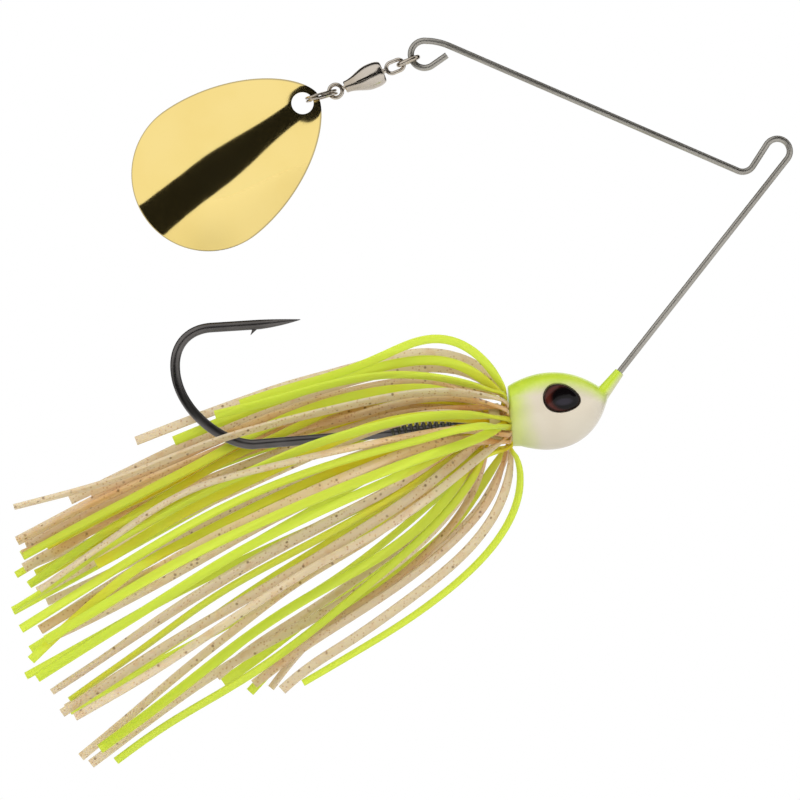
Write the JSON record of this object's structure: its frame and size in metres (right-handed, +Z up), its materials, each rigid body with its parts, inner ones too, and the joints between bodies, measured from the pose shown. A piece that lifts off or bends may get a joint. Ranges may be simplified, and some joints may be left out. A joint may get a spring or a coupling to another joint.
{
  "type": "spinnerbait",
  "caption": "Bent wire frame with a weighted fish-shaped head on a single upturned hook, a banded silicone skirt and one cupped blade on a ball bearing swivel.",
  "frame": {"origin": "centre of the line tie, the tight bend where the fishing line is knotted, on the wire's middle plane", "axes": "+X forwards, the way the line pulls the lure; +Y square to the plane in which the wire and hook lie, away from the side that is shown; +Z up, with the blade arm above and the head and hook below"},
  "size_m": [0.1102, 0.03, 0.102],
  "materials": {
    "wire": "bright stainless spring wire, semi-polished",
    "hook_plate": "black nickel plate over forged carbon steel",
    "head_paint": "glossy powder paint, pearl white belly fading to a chartreuse back",
    "eye_print": "domed printed eye, black pupil on dark red, clear gloss",
    "band_silicone": "stretched silicone band",
    "skirt_chartreuse": "translucent chartreuse silicone",
    "skirt_pearl": "translucent pearl silicone with brown flakes",
    "swivel_nickel": "nickel plated brass",
    "ball_steel": "polished bearing balls",
    "blade_gold": "polished gold plate, mirror smooth"
  },
  "bodies": {
    "bait": {"wire_frame": "wire", "hook": "hook_plate", "head": "head_paint", "eye_near": "eye_print", "eye_far": "eye_print", "bait_keeper": "hook_plate", "skirt_band": "band_silicone", "skirt_tab_chartreuse_1": "skirt_chartreuse", "skirt_tab_pearl_1": "skirt_pearl", "skirt_tab_chartreuse_2": "skirt_chartreuse", "skirt_tab_pearl_2": "skirt_pearl", "skirt_tab_chartreuse_3": "skirt_chartreuse", "skirt_tab_pearl_3": "skirt_pearl", "skirt_tab_chartreuse_4": "skirt_chartreuse", "skirt_tab_pearl_4": "skirt_pearl", "skirt_tab_chartreuse_5": "skirt_chartreuse", "skirt_tab_pearl_5": "skirt_pearl"},
    "ring": {"upper_ring": "swivel_nickel"},
    "spindle": {"swivel_spindle": "swivel_nickel"},
    "balls": {"bearing_ball_1": "ball_steel", "bearing_ball_2": "ball_steel", "bearing_ball_3": "ball_steel", "bearing_ball_4": "ball_steel", "bearing_ball_5": "ball_steel", "bearing_ball_6": "ball_steel"},
    "barrel": {"swivel_barrel": "swivel_nickel", "bearing_washer": "swivel_nickel", "tail_eye": "swivel_nickel"},
    "split": {"split_ring": "swivel_nickel"},
    "spinner": {"blade": "blade_gold"}
  },
  "joints": [
    {"name": "ring_swing", "type": "hinge", "parent": "bait", "child": "ring", "pos_m": [-0.05115, 0, 0.01285], "axis": [0.3827, 0, -0.9239], "range_deg": [-90, 90]},
    {"name": "swivel_swing", "type": "hinge", "parent": "ring", "child": "spindle", "pos_m": [-0.053, 0, 0.01208], "axis": [0, 1, 0], "range_deg": [-25, 75]},
    {"name": "barrel_spin", "type": "hinge", "parent": "spindle", "child": "barrel", "pos_m": [-0.053, 0, 0.01208], "axis": [-0.9239, 0, -0.3827], "continuous": true},
    {"name": "ball_roll", "type": "hinge", "parent": "spindle", "child": "balls", "pos_m": [-0.053, 0, 0.01208], "axis": [-0.9239, 0, -0.3827], "continuous": true},
    {"name": "split_ring_swing", "type": "hinge", "parent": "barrel", "child": "split", "pos_m": [-0.06268, 0, 0.00807], "axis": [0.2672, 0, -0.9636], "range_deg": [-50, 50]},
    {"name": "blade_swing", "type": "hinge", "parent": "split", "child": "spinner", "pos_m": [-0.06585, 0, 0.00719], "axis": [0, 1, 0], "range_deg": [-60, 90]}
  ],
  "couplings": [
    {"joint": "ball_roll", "follows": "barrel_spin", "ratio": 0.5}
  ]
}
